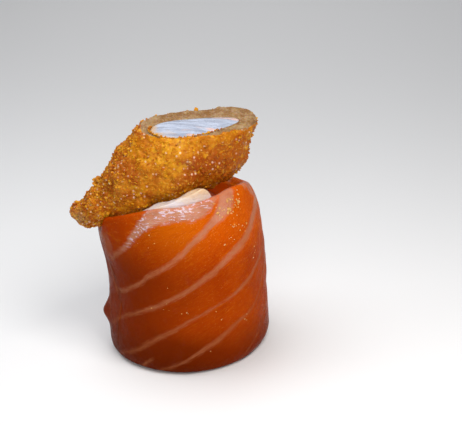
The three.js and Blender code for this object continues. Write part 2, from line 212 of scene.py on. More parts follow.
def slice_layer(along, z):
    """Offset of the slice's outer face from the roll's radius, and its thickness. The start is
    sunk and tapers in; the outer end rises a little over it and tapers out onto its face."""
    starting = along < SLICE_START + 180
    start_thickness = SLICE_LIP + (SLICE_THICKNESS - SLICE_LIP) * smooth(SLICE_START, 200, along)
    end = lap_end(z)
    inner = -LAP_BITE - lap_sink(along - 360)
    rise = LAP_RISE * smooth(500, 545, along)
    offset = rise + (inner + SLICE_LIP - rise) * smooth(end - 20, end, along)
    single = SLICE_THICKNESS - SLICE_THINNING * smooth(485, 520, along) + offset
    room = np.where(along - 360 < SLICE_START, single, offset - inner)
    thickness = np.where(starting, start_thickness, np.minimum(single, room))
    return np.where(starting, -lap_sink(along), offset), thickness


def under_face(angle, z, offset, depth):
    """Radius and height of a point some depth inside the roll's face, measured square to the
    face, and the two parts of that square direction: outwards and upwards."""
    slope = (roll_radius(angle, z + 0.2) - roll_radius(angle, z - 0.2)) / 0.4
    level = smooth(0, 6, z)
    across = 1 / np.sqrt(1 + slope * slope)
    out = level * across + 1 - level
    up = -slope * across * level
    return roll_radius(angle, z) + offset - depth * out, z - depth * up, out, up


def knob(along, z):
    """A knob of flesh that sticks out of the outer end low down."""
    return KNOB_SIZE * hump(z - KNOB_HEIGHT, 2.3) * hump(along - KNOB_ALONG, 8)


def line_distance(line, along, z):
    """Distance to a fat line's edge, square to the line and negative inside it: the height above
    or below its half height, shortened by the line's slope."""
    steep = (curve(line, along + 0.5) - curve(line, along - 0.5)) / ARC
    return (np.abs(z - curve(line, along)) - curve(line, along, 2)) / np.sqrt(1 + steep**2)


def fat_pattern(along, z):
    """Distance to the nearest edge of a fat line or patch, negative inside it, how strongly it
    shows, and the place across the lines, which counts one spacing from each line to the next.
    The band along the rim and the thin line along the outer end's edge are painted highlights
    drawn like fat."""
    nearest = np.full(along.shape, 99.0)
    strength = np.zeros(along.shape)
    heights = []

    def keep_nearer(distance, shows):
        nearer = distance < nearest
        strength[nearer] = shows[nearer]
        nearest[nearer] = distance[nearer]

    for line in FAT_LINES:
        keep_nearer(line_distance(line, along, z), curve(line, along, 3))
        heights.append(curve(line, along))
    around = np.where(along > 520, along - 360, along)
    for line in LAP_FAT_LINES:
        past = np.maximum(line[0][0] - around, around - line[-1][0])
        distance = line_distance(line, around, z) + np.maximum(0, past) * ARC
        keep_nearer(distance, curve(line, around, 3))
    angle, height, radius = LAP_SKIN
    ragged = 0.9 * drift(np.stack([around * ARC, z, 0 * z], axis=-1), 1.7, 6)
    patch = np.hypot((around - angle) * ARC * 0.8, z - height) - radius + ragged
    keep_nearer(patch, np.full(along.shape, 0.5))
    angle, height, radius = RIM_CORNER
    corner = np.hypot((along - angle) * ARC, z - height) - radius
    keep_nearer(corner, np.full(along.shape, 0.7))
    # Painted highlight: a pale band along the rim's top, drawn like fat.
    angle, half, depth = RIM_HIGHLIGHT
    rim_highlight = np.maximum(rim_height(along) - depth - z, (np.abs(along - angle) - half) * ARC)
    keep_nearer(rim_highlight, np.full(along.shape, 0.55))
    # Painted highlight: a thin pale line along the outer end's edge, drawn like fat.
    end_edge_highlight = np.abs((lap_end(z) - along) * ARC - 0.2) - 0.35
    keep_nearer(end_edge_highlight, 0.22 * smooth(24, 18, z))
    across = np.zeros(along.shape)
    for upper, lower in zip(heights, heights[1:]):
        across += np.clip((upper - z) / np.maximum(upper - lower, 3), 0, 1)
    return nearest, strength, LINE_SPACING * across


def hashed(cells, seed):
    """A repeatable random number from 0 to 1 for each whole-number cell: its three numbers and
    the seed are multiplied by large odd numbers, mixed by shifts and cut to a fraction."""
    x, y, z = (cells[..., k].astype(np.uint32) for k in range(3))
    mixed = x * np.uint32(73856093) ^ y * np.uint32(19349663) ^ z * np.uint32(83492791)
    mixed ^= np.uint32((seed * 2654435761) % 2**32)
    mixed ^= mixed >> np.uint32(13)
    mixed *= np.uint32(1274126177)
    mixed ^= mixed >> np.uint32(16)
    mixed *= np.uint32(2246822519)
    mixed ^= mixed >> np.uint32(15)
    return mixed / 2.0**32


def drift(points, size, seed):
    """Soft noise from -1 to 1: random values at the corners of cubes of this size, blended
    across each cube by smooth steps."""
    scaled = points / size
    cell = np.floor(scaled).astype(np.int64)
    part = scaled - cell
    part = part * part * (3 - 2 * part)
    total = np.zeros(points.shape[:-1])
    for corner in np.ndindex(2, 2, 2):
        weight = np.prod(np.where(np.array(corner) == 1, part, 1 - part), axis=-1)
        total += weight * hashed(cell + corner, seed)
    return 2 * total - 1


def polar(angle, r, z):
    """Points from angles, radii and heights."""
    x, y = r * np.cos(np.radians(angle)), r * np.sin(np.radians(angle))
    return np.stack([x, y, z], axis=-1)


def slice_surface(columns, rows, edge_rows):
    """Rings round the strip, one for each step along it: up the outer face, over the round edge
    as half an ellipse and down the inner face. The outer face is the roll's radius with the
    layer's offset, the knob and the foot; it is sunk at the fat lines and has slow waves.
    Gives the points, and the angle along the slice of each."""
    share = np.linspace(0, 1, columns)[:, None]
    top = rim_height(SLICE_START + share * (lap_end(40.0) - SLICE_START)) - EDGE_HEIGHT
    z = np.linspace(0, 1, rows)[None, :] ** 1.2 * top
    along = SLICE_START + share * (lap_end(z) - SLICE_START)
    offset, thickness = slice_layer(along, z)
    face, _, _, _ = under_face(along, z, offset, 0)
    back, back_z, _, _ = under_face(along, z, offset, thickness)
    inset = foot_inset(along, z)
    inset *= np.where(along < 500, np.minimum(1, thickness / SLICE_THICKNESS), 1)
    outer = face + knob(along, z) - inset
    inner = np.minimum(back - inset * smooth(525, 545, along), outer - 0.12)
    nearest, strength, _ = fat_pattern(along, z)
    ends = smooth(0, 0.12, share) * smooth(1, 0.9, share)
    face_points = polar(along, outer, z)
    relief = 0.16 * drift(face_points, 5.0, 3) + 0.07 * drift(face_points, 1.9, 4)
    relief = relief - LINE_SINK * smooth(0.5, -0.4, nearest) * strength
    outer = outer + relief * ends * smooth(0, 1.5, z)
    half = thickness[:, -1:] / 2
    middle, middle_z, out, up = under_face(along[:, -1:], z[:, -1:], offset[:, -1:], half)
    turn = np.pi * np.arange(1, edge_rows + 1) / (edge_rows + 1)
    side = half * np.cos(turn)
    lift = EDGE_HEIGHT * np.sin(turn)
    edge_along = np.repeat(along[:, -1:], edge_rows, axis=1)
    edge = polar(edge_along, middle + side * out - lift * up, middle_z + side * up + lift * out)
    faces = [polar(along, outer, z), edge, polar(along, inner, back_z)[:, ::-1]]
    return np.concatenate(faces, axis=1), np.concatenate([along, edge_along, along[:, ::-1]], axis=1)


def ring_quads(rings, count, first=0):
    """Quads between neighbouring rings; the last point of a ring meets its first."""
    j = np.arange(count)
    i = np.arange(rings - 1)[:, None] * count + first
    k = (j + 1) % count
    return np.stack([i + j, i + count + j, i + count + k, i + k], axis=-1).reshape(-1, 4)


def strip_caps(rings, count):
    """Closes a strip's two ends by a ladder of quads across each end ring."""
    j = np.arange(count // 2 - 1)
    ladder = np.stack([j, j + 1, count - 2 - j, count - 1 - j], axis=-1)
    return np.concatenate([ladder, ladder[:, ::-1] + (rings - 1) * count])


def pole_fans(rings, count, poles):
    """Closes the first and the last ring by triangles to one point each."""
    j = np.arange(count)
    k = (j + 1) % count
    last = (rings - 1) * count
    near = np.stack([np.full(count, poles[0]), j, k], axis=-1)
    far = np.stack([np.full(count, poles[1]), k + last, j + last], axis=-1)
    return np.concatenate([near, far])


def make_piece(name, points, faces, attributes=None, smooth_shaded=True):
    """A mesh object from points in millimetres and arrays of faces. Each attribute holds one
    number or one vector for each point."""
    mesh = bpy.data.meshes.new(name)
    face_lists = [face for array in faces for face in array.tolist()]
    mesh.from_pydata((points.reshape(-1, 3) * 0.001).tolist(), [], face_lists)
    for key, values in (attributes or {}).items():
        flat = np.asarray(values, np.float32)
        if flat.size == len(mesh.vertices):
            mesh.attributes.new(key, "FLOAT", "POINT").data.foreach_set("value", flat.ravel())
        else:
            mesh.attributes.new(key, "FLOAT_VECTOR", "POINT").data.foreach_set("vector", flat.ravel())
    mesh.polygons.foreach_set("use_smooth", np.full(len(mesh.polygons), smooth_shaded))
    mesh.update()
    piece = bpy.data.objects.new(name, mesh)
    bpy.context.scene.collection.objects.link(piece)
    return piece


FACE_ROWS = 104
slice_points, slice_along = slice_surface(columns=400, rows=FACE_ROWS, edge_rows=10)
slice_rings, slice_count = slice_along.shape
slice_z = slice_points[..., 2]
fat, fat_strength, fat_across = fat_pattern(slice_along, slice_z)
crinkle = smooth(222, 237, slice_along) * smooth(299, 291, slice_along)
crinkle *= smooth(0.5, -0.6, line_distance(FAT_LINES[0], slice_along, slice_z))
past_edge = np.arange(slice_count) > FACE_ROWS + 6  # beyond the round edge's middle
salmon_slice = make_piece(
    "salmon_slice",
    slice_points,
    [ring_quads(slice_rings, slice_count), strip_caps(slice_rings, slice_count)],
    {
        "fat_edge": fat,
        "fat_strength": fat_strength,
        "crinkle": crinkle,
        "inner_face": past_edge + 0 * slice_along,
        "grain": np.stack([slice_along * ARC, fat_across, slice_z], axis=-1),
    },
)


def add(tree, kind, inputs=None, **settings):
    """A shader node with its settings. Each input is a value, or the socket that feeds it."""
    made = tree.nodes.new("ShaderNode" + kind)
    for name, value in settings.items():
        setattr(made, name, value)
    for name, value in (inputs or {}).items():
        socket = made.inputs[name]
        if isinstance(value, bpy.types.NodeSocket):
            tree.links.new(value, socket)
        else:
            socket.default_value = value
    return made


def step(tree, value, start, end, low=0.0, high=1.0):
    """low where the value is at start, high where it is at end, and a smooth change between."""
    inputs = {"Value": value, "From Min": start, "From Max": end, "To Min": low, "To Max": high}
    return add(tree, "MapRange", inputs, interpolation_type="SMOOTHSTEP").outputs["Result"]


def times(tree, a, b):
    """One number times another."""
    return add(tree, "Math", {0: a, 1: b}, operation="MULTIPLY").outputs[0]


def plus(tree, a, b, share=None):
    """The sum of a and b, or of a and this share of b."""
    b = b if share is None else times(tree, b, share)
    return add(tree, "Math", {0: a, 1: b}, operation="ADD").outputs[0]


def blend(tree, mask, a, b):
    """Colour a where the mask is 0 and colour b where it is 1."""
    a, b = ((*colour, 1) if isinstance(colour, tuple) else colour for colour in (a, b))
    return add(tree, "Mix", {0: mask, 6: a, 7: b}, data_type="RGBA").outputs[2]


def layered(tree, colour, layers):
    """The colour with others blended over it in turn. Each layer gives a value, where on it the
    blend starts and ends, how strong it is at the end, and its colour."""
    for value, start, end, most, over in layers:
        colour = blend(tree, step(tree, value, start, end, 0.0, most), colour, over)
    return colour


def noise(tree, vector, scale, detail=2.0, rough=0.55, warp=0.0):
    """Fractal noise from 0 to 1 with this many cells to the unit of the vector."""
    inputs = {
        "Vector": vector, "Scale": scale, "Detail": detail, "Roughness": rough, "Distortion": warp,
    }
    return add(tree, "TexNoise", inputs).outputs[0]


def stretched(tree, vector, x, y, z):
    """The vector scaled along its three axes."""
    return add(tree, "Mapping", {"Vector": vector, "Scale": (x, y, z)}).outputs[0]


def attribute(tree, name, output="Fac"):
    """A number or vector that the mesh holds for each point."""
    return add(tree, "Attribute", attribute_name=name, attribute_type="GEOMETRY").outputs[output]


def bumped(tree, height, strength, depth):
    """A normal that is tilted by a height, with the depth in metres."""
    inputs = {"Height": height, "Strength": strength, "Distance": depth}
    return add(tree, "Bump", inputs).outputs[0]


def new_material(name):
    """An empty material, its node tree and its object coordinates."""
    material = bpy.data.materials.new(name)
    material.use_nodes = True
    tree = material.node_tree
    tree.nodes.clear()
    return material, tree, add(tree, "TexCoord").outputs["Object"]


def finish_surface(tree, inputs):
    """The material's own Principled shader on the surface output."""
    surface = add(tree, "BsdfPrincipled", inputs)
    add(tree, "OutputMaterial", {"Surface": surface.outputs[0]})


def wet_film_group():
    """Liquid on food: a film that pools in some places and leaves others drier. Gives a
    roughness that changes between the two, and a height for a bump."""
    group = bpy.data.node_groups.new("wet_film", "ShaderNodeTree")
    face = group.interface
    face.new_socket("Vector", in_out="INPUT", socket_type="NodeSocketVector")
    for label, value in (("Scale", 400.0), ("Wet", 0.15), ("Dry", 0.5)):
        face.new_socket(label, in_out="INPUT", socket_type="NodeSocketFloat").default_value = value
    for label in ("Roughness", "Height"):
        face.new_socket(label, in_out="OUTPUT", socket_type="NodeSocketFloat")
    given = group.nodes.new("NodeGroupInput").outputs
    pools = noise(group, given["Vector"], given["Scale"], 3.0)
    ripples = noise(group, given["Vector"], times(group, given["Scale"], 3.3), 2.0)
    rough = step(group, pools, 0.38, 0.64, given["Wet"], given["Dry"])
    result = group.nodes.new("NodeGroupOutput").inputs
    group.links.new(rough, result["Roughness"])
    group.links.new(plus(group, pools, ripples, 0.35), result["Height"])
    return group


wet_film = wet_film_group()


def add_film(tree, vector, scale, wet, dry):
    """The wet film in a material, with that material's own values."""
    inputs = {"Vector": vector, "Scale": scale, "Wet": wet, "Dry": dry}
    made = add(tree, "Group", inputs, node_tree=wet_film)
    return made.outputs["Roughness"], made.outputs["Height"]


def salmon_material():
    """Orange flesh with fibres that run along the fat lines, painted lighter and golden high up in the
    middle and painted darker with shade low down and on the left at the lap, and an inner face painted
    bright as painted light; pale lines with frayed edges, also painted darker low down and on the
    left; and a crinkled whitish skin of fat under the rim, whose glints are painted whitish highlights
    with a gloss of their own."""
    material, tree, place = new_material("raw_salmon")
    fibre = attribute(tree, "grain", "Vector")
    inner_face = attribute(tree, "inner_face")
    skin = attribute(tree, "crinkle")
    cloudy = noise(tree, place, 170.0, 3.0)
    fray = noise(tree, stretched(tree, fibre, 0.45, 1.3, 0.6), 1.1, 3.0)
    streaks = noise(tree, stretched(tree, fibre, 0.14, 3.4, 0.6), 1.0, 4.0, 0.65, 0.4)
    threads = noise(tree, stretched(tree, fibre, 0.3, 7.5, 1.4), 1.0, 2.0, 0.6, 0.3)
    speckle = noise(tree, place, 3000.0, 1.0)
    split = add(tree, "SeparateXYZ", {0: place}).outputs
    x, z = split["X"], split["Z"]
    # Painted light: the flesh is painted lighter and more golden high up in the middle, where the
    # light falls most.
    golden = times(tree, step(tree, z, 0.027, 0.038), step(tree, x, -0.016, -0.002))
    golden = times(tree, golden, step(tree, x, 0.0, 0.009, 1.0, 0.35))
    flesh = layered(tree, (0.47, 0.051, 0.0006), [(cloudy, 0.35, 0.65, 1.0, (0.55, 0.070, 0.0008))])
    flesh = blend(tree, golden, flesh, (0.60, 0.115, 0.0012))
    flesh = layered(tree, flesh, [
        (streaks, 0.44, 0.30, 0.6, (0.36, 0.035, 0.0006)),
        (streaks, 0.56, 0.72, 0.55, (0.80, 0.20, 0.006)),
        (threads, 0.54, 0.75, 0.45, (0.82, 0.22, 0.015)),
        (speckle, 0.62, 0.75, 0.4, (0.85, 0.30, 0.06)),
    ])
    # Painted shade: the flesh is painted darker towards the bottom and the left, and darker still at
    # its foot except on the right.
    painted_shade = step(tree, z, 0.039, 0.024, 0.08, 0.64)
    painted_shade = plus(tree, painted_shade, step(tree, z, 0.014, 0.001, 0.0, 0.6))
    painted_shade = plus(tree, painted_shade, step(tree, x, 0.016, -0.017, -0.19, 0.40))
    foot = times(tree, step(tree, z, 0.014, 0.002, 0.0, 0.6), step(tree, x, 0.015, -0.002))
    flesh = blend(tree, painted_shade, flesh, (0.19, 0.020, 0.0005))
    flesh = blend(tree, foot, flesh, (0.07, 0.008, 0.0002))
    # Painted light: the inner face is painted bright orange to stand in for light shining through the
    # flesh into the shaded hollow.
    flesh = blend(tree, times(tree, inner_face, 0.9), flesh, (0.98, 0.20, 0.004))
    edge = plus(tree, attribute(tree, "fat_edge"), fray, 0.9)
    edge = plus(tree, edge, streaks, 1.3)
    lines = times(tree, step(tree, edge, 1.55, 0.45), attribute(tree, "fat_strength"))
    lines = times(tree, lines, step(tree, threads, 0.25, 0.6, 0.55, 1.0))
    lines = times(tree, lines, step(tree, inner_face, 0.0, 1.0, 1.0, 0.25))
    fat_colour = layered(tree, (0.45, 0.19, 0.11), [
        (cloudy, 0.4, 0.65, 1.0, (0.53, 0.27, 0.185)),
        # The fat turns more orange below the rim; painted shade makes it darker towards the bottom and
        # on the left.
        (z, 0.040, 0.030, 0.6, (0.42, 0.12, 0.03)),
        (z, 0.038, 0.004, 0.75, (0.28, 0.075, 0.02)),
        (x, -0.010, -0.018, 0.6, (0.24, 0.06, 0.02)),
    ])
    glitter = noise(tree, stretched(tree, place, 0.55, 0.55, 1.5), 1250.0, 3.0, 0.65, 0.8)
    patchy = noise(tree, stretched(tree, place, 0.6, 0.6, 1.6), 330.0, 1.0)
    sparkle = plus(tree, glitter, step(tree, patchy, 0.35, 0.65, -0.04, 0.05))
    # Painted highlight: glints on the skin are whitish spots in the colour, and the same mask gives
    # them a coat of real gloss.
    glints = times(tree, times(tree, skin, step(tree, sparkle, 0.53, 0.63)), 0.8)
    colour = blend(tree, lines, flesh, fat_colour)
    colour = blend(tree, glints, colour, (0.70, 0.60, 0.74))
    rough, film = add_film(tree, place, scale=260.0, wet=0.20, dry=0.42)
    pools = noise(tree, place, 420.0, 2.0)
    bumps = plus(tree, times(tree, threads, 0.5), film, 0.8)
    bumps = plus(tree, bumps, speckle, 0.12)
    bumps = plus(tree, bumps, times(tree, glitter, skin), 2.4)
    finish_surface(tree, {
        "Base Color": colour, "Roughness": rough, "Normal": bumped(tree, bumps, 0.5, 0.00035),
        "Specular IOR Level": 0.01, "Subsurface Weight": 0.25, "Subsurface Scale": 0.0018,
        "Subsurface Radius": (1.0, 0.22, 0.06), "Coat Roughness": 0.15,
        "Coat Weight": plus(tree, glints, step(tree, pools, 0.60, 0.72, 0.0, 0.06)),
    })
    return material


salmon_slice.data.materials.append(salmon_material())
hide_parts("salmon_wrap")
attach(salmon_slice, "root")

# The cream filling
# Soft white cream cheese fills the roll. It bulges between the rim and the shrimp at the shown
# side and is sunken at the right, where the far inside of the slice shows.

FILLING_CENTRE = 38.6  # height of the top's middle
FILLING_BELOW_RIM = 2.1
FILLING_GAP = 0.1  # between the filling and the slice
HOLLOW_DEPTH = 10.5  # of the sunken part at the right
HOLLOW_SIDE = 8.0
HOLLOW_WIDTH = 52.0
CREAM_RIDGE = [  # angle and height of the smear that swells between the rim and the shrimp
    (215, 0), (232, 1.6), (250, 2.4), (262, 3.2), (275, 4.2), (285, 5.4), (292, 6), (297, 5.6),
    (301, 3.9), (305, 1), (309, 0),
]


def filling_depth(angle):
    """How far the filling's face lies inside the roll's radius: against the slice's inner face,
    and under the slice's start just before it."""
    before = (angle >= SLICE_START - 9) & (angle < SLICE_START)
    offset, thickness = slice_layer(np.where(angle < SLICE_START - 9, angle + 360, angle), 0.0)
    return np.where(before, LAP_SINK + SLICE_LIP, thickness - offset) + FILLING_GAP


def filling_surface(sides, wall_rows, top_rows):
    """Rings from the top's middle outwards, then down the wall and in under the foot. The top
    rises from its middle to the wall by the share of the way to the power of 1.5, less a
    bell-shaped hollow, plus a smeared ridge close to the wall."""
    angle = np.arange(sides)[None, :] * 360 / sides
    dip = HOLLOW_DEPTH * hump(turned(angle, HOLLOW_SIDE), HOLLOW_WIDTH)
    even = rim_height(angle) - FILLING_BELOW_RIM
    level = even - dip
    height = np.linspace(1, 0, wall_rows)[:, None] * level
    wall_r, wall_z, _, _ = under_face(angle, height, 0, filling_depth(angle))
    wall_z[-1] = 0
    share = np.sin(np.linspace(0.01, 1, top_rows) * np.pi / 2)[:, None] * 0.995
    ridge = curve(CREAM_RIDGE, angle) * smooth(1, 0.94, share) * smooth(0.45, 0.8, share)
    top_z = FILLING_CENTRE + (even - FILLING_CENTRE) * share**1.5 - dip * smooth(0.12, 0.6, share)
    top_z = top_z + (wall_z[:1] - level) * share**4 + ridge
    top = polar(angle + 0 * share, wall_r[:1] * share, top_z)
    smear = 0.5 * drift(top * (0.5, 1, 1), 2.6, 11) + 0.25 * drift(top * (0.6, 1, 1), 1.1, 12)
    top[..., 2] += smear * smooth(1, 0.9, share)
    return np.concatenate([top, polar(angle + 0 * wall_z, wall_r, wall_z)])


def closed_rings(points, poles):
    """Points and faces of a body made of rings, the first and the last closed by a pole each."""
    rings, count = points.shape[:2]
    faces = [ring_quads(rings, count), pole_fans(rings, count, np.arange(2) + rings * count)]
    return np.concatenate([points.reshape(-1, 3), poles]), faces


filling_poles = np.array([(0, 0, FILLING_CENTRE), (0, 0, 0)], float)
filling_grid = filling_surface(sides=240, wall_rows=50, top_rows=70)
filling_points, filling_faces = closed_rings(filling_grid, filling_poles)
cream_filling = make_piece("cream_cheese", filling_points, filling_faces)


def cream_material():
    """Soft, moist and off-white with smears, tan along the ridge's crest, and stained orange by
    juice in the hollow."""
    material, tree, place = new_material("cream_cheese")
    cloudy = noise(tree, place, 300.0, 3.0)
    smears = noise(tree, stretched(tree, place, 0.4, 1.0, 1.4), 900.0, 3.0)
    split = add(tree, "SeparateXYZ", {0: place}).outputs
    x, z = split["X"], split["Z"]
    juice = times(tree, step(tree, z, 0.0425, 0.0400), step(tree, x, 0.004, 0.007))
    colour = layered(tree, (0.68, 0.63, 0.66), [
        (cloudy, 0.35, 0.65, 1.0, (0.72, 0.62, 0.54)),
        (z, 0.0430, 0.0458, 0.85, (0.64, 0.42, 0.22)),
    ])
    colour = blend(tree, times(tree, juice, 0.85), colour, (0.66, 0.15, 0.015))
    rough, film = add_film(tree, place, scale=500.0, wet=0.22, dry=0.5)
    normal = bumped(tree, plus(tree, smears, film, 0.4), 0.6, 0.0004)
    finish_surface(tree, {
        "Base Color": colour, "Roughness": rough, "Normal": normal,
        "Subsurface Weight": 0.4, "Subsurface Radius": (1.0, 0.8, 0.5), "Subsurface Scale": 0.0015,
        "Coat Weight": 0.2, "Coat Roughness": 0.2,
    })
    return material


cream_filling.data.materials.append(cream_material())
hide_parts("cream_filling")
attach(cream_filling, "root")

# The fried crust
# Breadcrumbs fried golden brown in oil cling to the shrimp in crags. The shrimp lies slanting on
# the roll with its tip over the lap, and a knife took its thick end off on the bias, so the
# crust's pale inside shows as a ring round the meat.

TIP = np.array([-25.8, -5.8, 36.3])
PITCH = np.radians(38)
TURN = np.radians(11)
ALONG = np.array([np.cos(PITCH) * np.cos(TURN), np.cos(PITCH) * np.sin(TURN), np.sin(PITCH)])
ABOVE = np.array([-np.sin(PITCH) * np.cos(TURN), -np.sin(PITCH) * np.sin(TURN), np.cos(PITCH)])
ASIDE = np.array([-np.sin(TURN), np.cos(TURN), 0])  # away from the viewer
SHRIMP_LENGTH = 58.0
NOSE_LENGTH = 4.0
CRUST_SECTIONS = [  # distance from the tip; size above, below and beside the axis; side shift
    (0, 1.9, 3.3, 2.6, 1.6), (4, 2.3, 5.1, 3.5, 1.5), (9, 2.6, 6.4, 5.1, 1.2),
    (15, 4.8, 9.6, 7.2, 0.6), (22, 6.5, 13.4, 8.7, 0), (30, 7.7, 16, 9.2, -0.6),
    (38, 9.4, 17.6, 7.9, 0.4), (46, 10.6, 14.5, 7.6, 2.7), (54, 9.4, 10.8, 9.6, 2.2),
]
MEAT_SECTIONS = [  # rows like those of the crust
    (10, 1, 4.4, 3, 0.6), (20, 3.7, 7.8, 4.7, -1.6), (30, 5.7, 9.8, 5.5, -3),
    (38, 6.7, 10.2, 4.2, -1.8), (46, 7.4, 9.1, 3.1, 0.7), (54, 7, 7.6, 2.6, 2),
]
MEAT_START = 10.0
MEAT_GAP = 0.08  # the room round the meat
CRUST_REACH = 57.0  # how far along the knife's plane is looked for
MEAT_REACH = 54.0
SQUARENESS = 2.2
CUT_POINT = np.array([0, 0, 58.65])
CUT_NORMAL = np.array([0.1, -0.124, 1]) / np.linalg.norm([0.1, -0.124, 1])


def section_point(table, along, angle, scale, grow, power):
    """A point at an angle round a section of the shrimp, 0 above and 90 degrees away from the
    viewer: a rounded square of this power, whose sizes the table gives."""
    above, below, beside, shift = (curve(table, along, k) for k in (1, 2, 3, 4))
    round_c, round_s = (
        np.sign(v) * np.abs(v) ** (2 / power) for v in (np.cos(angle), np.sin(angle))
    )
    high = scale * (above - below) / 2 + (scale * (above + below) / 2 + grow) * round_c
    wide = shift + (scale * beside + grow) * round_s
    return TIP + along[..., None] * ALONG + high[..., None] * ABOVE + wide[..., None] * ASIDE


def crust_scale(along):
    """Rounds the crust shut at the tip and at the far end, as ellipses."""
    near = np.maximum(0, 1 - along / NOSE_LENGTH)
    far = np.maximum(0, 1 - (SHRIMP_LENGTH - along) / NOSE_LENGTH)
    return np.sqrt(np.maximum(0, 1 - near**2)) * np.sqrt(np.maximum(0, 1 - far**2))


def meat_scale(along):
    """Rounds the meat shut before the tip."""
    near = np.maximum(0, 1 - (along - MEAT_START) / 6)
    return np.sqrt(np.maximum(0, 1 - near**2))


def random_draws(seed, count):
    """Random numbers from 0 to 1: a counter goes up by a fixed step, and each value is mixed by
    shifts and multiplications of 32 bits."""
    mask = 0xFFFFFFFF
    draws = []
    state = seed
    for _ in range(count):
        state = (state + 0x6D2B79F5) & mask
        t = ((state ^ (state >> 15)) * (1 | state)) & mask
        t = ((t + (((t ^ (t >> 7)) * (61 | t)) & mask)) & mask) ^ t
        draws.append((t ^ (t >> 14)) / 2**32)
    return np.array(draws)


LUMPS = 260
LUMP_DRAWS = random_draws(7, LUMPS * 4).reshape(LUMPS, 4)
LUMP_ALONG = LUMP_DRAWS[:, 0] * 54
LUMP_PLACES = section_point(
    CRUST_SECTIONS, LUMP_ALONG, LUMP_DRAWS[:, 1] * 2 * np.pi, crust_scale(LUMP_ALONG), 0, SQUARENESS
)
LUMP_HEIGHTS = (LUMP_DRAWS[:, 2] - 0.45) * 1.5
LUMP_WIDTHS = 1.1 + 2 * LUMP_DRAWS[:, 3]


def crag(points):
    """The sum of soft lumps and pits, each a bell round its own place."""
    total = np.zeros(points.shape[:-1])
    for place, height, width in zip(LUMP_PLACES, LUMP_HEIGHTS, LUMP_WIDTHS):
        total += height * np.exp(-np.sum((points - place) ** 2, axis=-1) / width**2)
    return np.clip(total, -0.45, 1)


def crust_point(along, angle):
    """A point of the crust with its crags."""
    scale = crust_scale(along)
    bare = section_point(CRUST_SECTIONS, along, angle, scale, 0, SQUARENESS)
    return section_point(CRUST_SECTIONS, along, angle, scale, crag(bare), SQUARENESS)


def meat_point(along, angle, grow=0.0):
    """A point of the meat, in round sections."""
    return section_point(MEAT_SECTIONS, along, angle, meat_scale(along), grow, 2.0)


def bore_point(along, angle):
    """A point of the room that the crust leaves for the meat."""
    return meat_point(along, angle, MEAT_GAP)


def cut_along(point_at, angle, start, end, below):
    """Where each line along the shrimp comes this far below the knife's plane, by halving."""
    low, high = np.full(angle.shape, start), np.full(angle.shape, end)
    for _ in range(26):
        middle = (low + high) / 2
        past = (point_at(middle, angle) - CUT_POINT) @ CUT_NORMAL > -below
        high, low = np.where(past, middle, high), np.where(past, low, middle)
    return low


def stones(points, size, seed):
    """Crumbs as round stones: each cube of this size holds one, at a random place and of a
    random size. Gives the height of the tallest over each point, and that stone's own tone."""
    scaled = points / size
    cell = np.floor(scaled).astype(np.int64)
    best = np.zeros(points.shape[:-1])
    tone = np.full(points.shape[:-1], 0.5)
    for corner in np.ndindex(3, 3, 3):
        near = cell + corner - 1
        centre = near + np.stack([hashed(near, seed + k) for k in range(3)], axis=-1)
        reach = 0.5 + 0.45 * hashed(near, seed + 3)
        height = reach - np.sum((scaled - centre) ** 2, axis=-1) / reach
        tone = np.where(height > best, hashed(near, seed + 4), tone)
        best = np.maximum(best, height)
    return best, tone


def grid_normals(points):
    """Directions square to a grid of rings: the cross product of the differences between
    neighbours along and round it."""
    round_ring = np.roll(points, -1, axis=1) - np.roll(points, 1, axis=1)
    square = np.cross(np.gradient(points, axis=0), round_ring)
    return square / np.maximum(np.linalg.norm(square, axis=-1, keepdims=True), 1e-9)


ROUND_MIDDLE = 0.29  # of its radius, from a quarter circle's middle to each face that it joins


def crust_surface(angle, rings, fillet):
    """The outside from the tip to the knife's plane, with stones of four sizes and soft noise
    raised square to it. It turns in near the plane as the first half of a quarter circle, whose
    radius changes round the edge. Gives points, tones, heights and how bready each point is."""
    share = (np.arange(1, rings + 1) / rings)[:, None] ** 1.3
    along = share * cut_along(crust_point, angle, 0.0, CRUST_REACH, ROUND_MIDDLE * fillet)
    smooth_form = crust_point(along, angle + 0 * along)
    lumps, lump_tone = stones(smooth_form, 2.9, 22)
    coarse, coarse_tone = stones(smooth_form, 1.7, 21)
    fine, fine_tone = stones(smooth_form, 1.0, 31)
    tiny, _ = stones(smooth_form, 0.6, 41)
    height = 0.20 * coarse + 0.24 * fine + 0.22 * tiny + 0.20 * drift(smooth_form, 3.4, 5)
    to_plane = (CUT_POINT - smooth_form) @ CUT_NORMAL
    inset = fillet * (1 - np.sqrt(1 - np.clip(1 - to_plane / fillet, 0, 1) ** 2))
    outward = grid_normals(smooth_form)
    flat = smooth(0.9, 0.0, to_plane)[..., None]
    outward = outward - flat * (outward @ CUT_NORMAL)[..., None] * CUT_NORMAL
    points = smooth_form + (height + 0.40 * lumps - 0.42 - inset)[..., None] * outward
    at_back = smooth(-4, 1, smooth_form[..., 1])
    bready = smooth(1.3, 0.2, to_plane + 0.6 * drift(smooth_form, 1.1, 56)) * at_back
    return points, 0.4 * lump_tone + 0.3 * coarse_tone + 0.3 * fine_tone, height, bready


